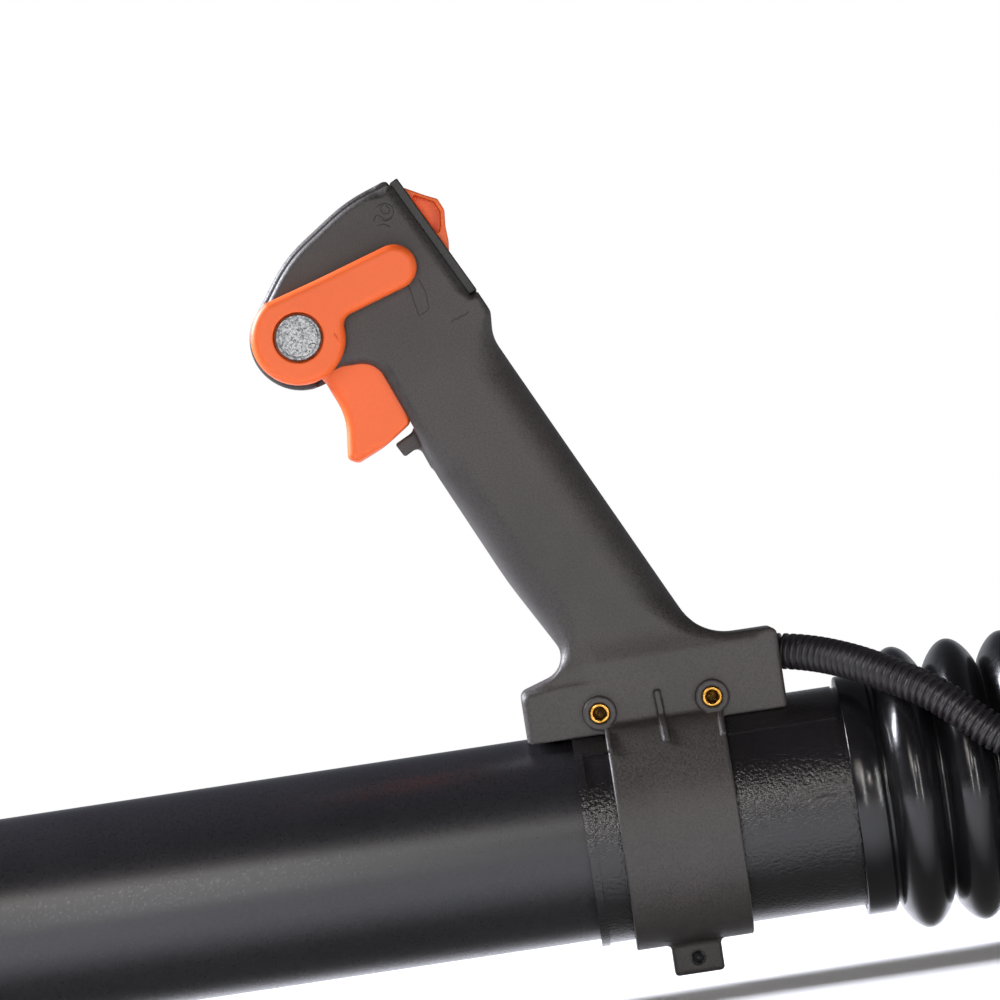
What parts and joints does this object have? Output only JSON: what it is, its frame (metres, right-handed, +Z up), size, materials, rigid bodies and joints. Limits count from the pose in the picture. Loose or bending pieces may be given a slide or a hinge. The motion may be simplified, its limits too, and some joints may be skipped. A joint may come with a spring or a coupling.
{
  "type": "backpack leaf blower air tube with control handle",
  "caption": "Hand end of a backpack leaf blower: pistol control handle with trigger, cruise lever and stop rocker on an air tube with nozzle, bellows hose and cable conduit.",
  "frame": {"origin": "centre of the rear hose cuff's mouth, where the tube leaves the fan housing", "axes": "+X along the air tube towards the fan, +Z up through the handle, -Y the operator's left"},
  "size_m": [0.9097, 0.1173, 0.2983],
  "materials": {
    "handle_plastic": "fine textured moulding",
    "orange_plastic": "satin moulding",
    "tube_plastic": "glossy blow moulding",
    "hose_plastic": "glossy bellows",
    "black_plastic": "satin moulding",
    "cable_jacket": "flexible jacket",
    "seal_rubber": "moulded ring",
    "zinc_steel": "zinc plated",
    "brass": "turned and knurled"
  },
  "bodies": {
    "hose_end": {"bellows_hose": "hose_plastic", "hose_clamp_band": "zinc_steel", "hose_clamp_housing": "zinc_steel", "hose_clamp_screw": "zinc_steel", "conduit": "cable_jacket", "conduit_clip": "black_plastic", "conduit_boot": "seal_rubber", "tail_casing": "cable_jacket", "tail_ferrule": "zinc_steel", "tail_leads": "cable_jacket", "lead_connectors": "brass"},
    "handle": {"left_shell": "handle_plastic", "right_shell": "handle_plastic", "threaded_inserts": "brass", "clamp_screws": "zinc_steel", "shell_screws": "zinc_steel", "friction_washer": "zinc_steel", "pivot_bolt": "zinc_steel", "pivot_sleeve": "zinc_steel", "pivot_nut": "zinc_steel", "trigger_spring": "zinc_steel", "switch_bezel": "black_plastic", "switch_body": "black_plastic", "switch_pin": "zinc_steel", "switch_terminals": "brass", "throttle_casing": "cable_jacket", "cable_adjuster": "brass", "adjuster_nut": "zinc_steel", "switch_leads": "cable_jacket", "conduit_gland": "black_plastic", "control_tube": "tube_plastic", "tube_seal": "seal_rubber"},
    "blow_tube": {"blow_tube": "black_plastic"},
    "nozzle": {"nozzle_tube": "black_plastic"},
    "trigger": {"trigger": "orange_plastic"},
    "lever": {"cruise_lever": "orange_plastic", "throttle_cam": "black_plastic"},
    "rocker": {"switch_rocker": "orange_plastic"},
    "throttle_wire": {"throttle_wire": "zinc_steel"},
    "tail_wire": {"tail_wire": "zinc_steel"}
  },
  "joints": [
    {"name": "hose_bend", "type": "hinge", "parent": "hose_end", "child": "handle", "pos_m": [-0.1185, 0, 0], "axis": [0, 1, 0], "range_deg": [-25, 30], "deforming": ["bellows_hose", "conduit"]},
    {"name": "blow_tube_twist", "type": "hinge", "parent": "handle", "child": "blow_tube", "pos_m": [-0.294, 0, 0], "axis": [1, 0, 0], "range_deg": [0, 25]},
    {"name": "nozzle_twist", "type": "hinge", "parent": "blow_tube", "child": "nozzle", "pos_m": [-0.5895, 0, 0], "axis": [-1, 0, 0], "range_deg": [0, 25]},
    {"name": "trigger_pull", "type": "hinge", "parent": "handle", "child": "trigger", "pos_m": [-0.3816, 0, 0.1922], "axis": [0, -1, 0], "range_deg": [0, 22], "stiffness_Nm_per_rad": 0.3, "springref_deg": -17.19, "deforming": ["trigger_spring"]},
    {"name": "throttle_wire_slide", "type": "slide", "parent": "handle", "child": "throttle_wire", "axis": [-0.4399, 0, 0.898], "range_m": [0, 0.0094]},
    {"name": "tail_wire_slide", "type": "slide", "parent": "hose_end", "child": "tail_wire", "axis": [-1, 0, 0], "range_m": [0, 0.0094]},
    {"name": "cruise_lever_turn", "type": "hinge", "parent": "handle", "child": "lever", "pos_m": [-0.3816, 0, 0.1922], "axis": [0, 1, 0], "range_deg": [0, 30]},
    {"name": "stop_rocker_tilt", "type": "hinge", "parent": "handle", "child": "rocker", "pos_m": [-0.33256, 0, 0.22661], "axis": [0, -1, 0], "range_deg": [0, 14]}
  ],
  "couplings": [
    {"joint": "throttle_wire_slide", "follows": "trigger_pull", "m_per_rad": 0.023853},
    {"joint": "tail_wire_slide", "follows": "trigger_pull", "m_per_rad": 0.023853}
  ]
}
